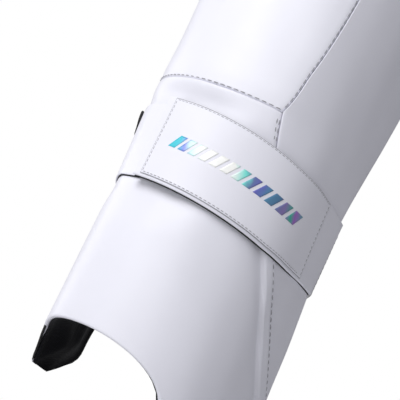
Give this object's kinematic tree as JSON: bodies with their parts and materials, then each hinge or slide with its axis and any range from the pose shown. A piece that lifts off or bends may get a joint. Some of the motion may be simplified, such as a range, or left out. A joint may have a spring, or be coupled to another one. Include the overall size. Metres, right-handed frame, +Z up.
{
  "type": "cricket leg pad",
  "caption": "Moulded batting leg pad for a left leg: shin guard with side wings over an instep arch, hinged knee rolls and top flap, and wrap-round hook-and-loop straps.",
  "frame": {"origin": "centre of the footprint box, on the surface that the two wing feet stand on", "axes": "+Z up the shin towards the knee, -Y the front of the leg, +X the outer side of a left leg, where the larger wing is"},
  "size_m": [0.2009, 0.2045, 0.69],
  "materials": {
    "white_face": "smooth satin coated synthetic leather",
    "white_strap": "smooth satin coated webbing with sewn edge",
    "black_lining": "matt knitted mesh over soft foam",
    "foam": "closed-cell foam with cut edges",
    "plate": "semi-matt polypropylene sheet",
    "elastic": "ribbed knitted elastic",
    "hook_tape": "hook tape",
    "badge": "iridescent heat-transfer film"
  },
  "bodies": {
    "shin": {"calf_loop_strap": "white_strap", "inner_shin_bolster": "black_lining", "inner_wing_binding": "white_face", "inner_wing_face": "white_face", "instep_pad": "black_lining", "outer_shin_bolster": "black_lining", "outer_wing_binding": "white_face", "outer_wing_face": "white_face", "shin_comfort_pad": "black_lining", "shin_face_lower": "white_face", "shin_face_upper": "white_face", "shin_foam_core": "foam", "shin_lining": "black_lining", "shin_panel_foam": "foam", "shin_stiffener_plate": "plate"},
    "knee": {"knee_roll_lower": "white_face", "knee_roll_middle": "white_face", "knee_roll_upper": "white_face", "inner_knee_side": "white_face", "outer_knee_side": "white_face", "knee_roll_lower_foam": "foam", "knee_roll_middle_foam": "foam", "knee_roll_upper_foam": "foam", "inner_knee_side_foam": "foam", "outer_knee_side_foam": "foam", "inner_knee_binding": "white_face", "outer_knee_binding": "white_face", "knee_foam_core": "foam", "knee_lining": "black_lining", "knee_cup_pad": "black_lining", "inner_knee_bolster": "black_lining", "outer_knee_bolster": "black_lining", "knee_loop_panel": "white_strap", "knee_anchor_tab": "white_strap"},
    "top": {"top_face": "white_face", "top_foam_core": "foam", "top_stiffener_plate": "plate", "top_lining": "black_lining", "top_comfort_pad": "black_lining", "inner_top_binding": "white_face", "outer_top_binding": "white_face"},
    "calf_strap_rear": {"calf_rear_elastic": "elastic", "calf_rear_pad": "black_lining"},
    "calf_strap_band": {"calf_band": "white_strap", "calf_band_patch": "white_strap", "calf_band_badge": "badge", "calf_hook_tape": "hook_tape"},
    "knee_strap_rear": {"knee_rear_elastic": "elastic", "knee_rear_pad": "black_lining"},
    "knee_strap_band": {"knee_band": "white_strap", "knee_hook_tape": "hook_tape"}
  },
  "joints": [
    {"name": "knee_hinge", "type": "hinge", "parent": "shin", "child": "knee", "pos_m": [-0.0014, -0.09649, 0.394], "axis": [-1, 0, 0], "range_deg": [0, 20]},
    {"name": "top_hinge", "type": "hinge", "parent": "knee", "child": "top", "pos_m": [-0.0014, -0.07772, 0.548], "axis": [-1, 0, 0], "range_deg": [0, 18]},
    {"name": "calf_rear_swing", "type": "hinge", "parent": "shin", "child": "calf_strap_rear", "pos_m": [-0.07554, 0.02578, 0.15386], "axis": [0, 0, 1], "range_deg": [0, 60]},
    {"name": "calf_band_open", "type": "hinge", "parent": "calf_strap_rear", "child": "calf_strap_band", "pos_m": [0.07119, 0.04542, 0.15386], "axis": [0, 0, 1], "range_deg": [0, 140]},
    {"name": "knee_rear_swing", "type": "hinge", "parent": "knee", "child": "knee_strap_rear", "pos_m": [-0.09508, 0.02231, 0.446], "axis": [0, 0, 1], "range_deg": [0, 60]},
    {"name": "knee_band_open", "type": "hinge", "parent": "knee_strap_rear", "child": "knee_strap_band", "pos_m": [0.09612, 0.02217, 0.446], "axis": [0, 0, 1], "range_deg": [0, 140]}
  ],
  "couplings": [
    {"joint": "calf_rear_swing", "follows": "calf_band_open", "ratio": 0.4},
    {"joint": "knee_rear_swing", "follows": "knee_band_open", "ratio": 0.4}
  ]
}
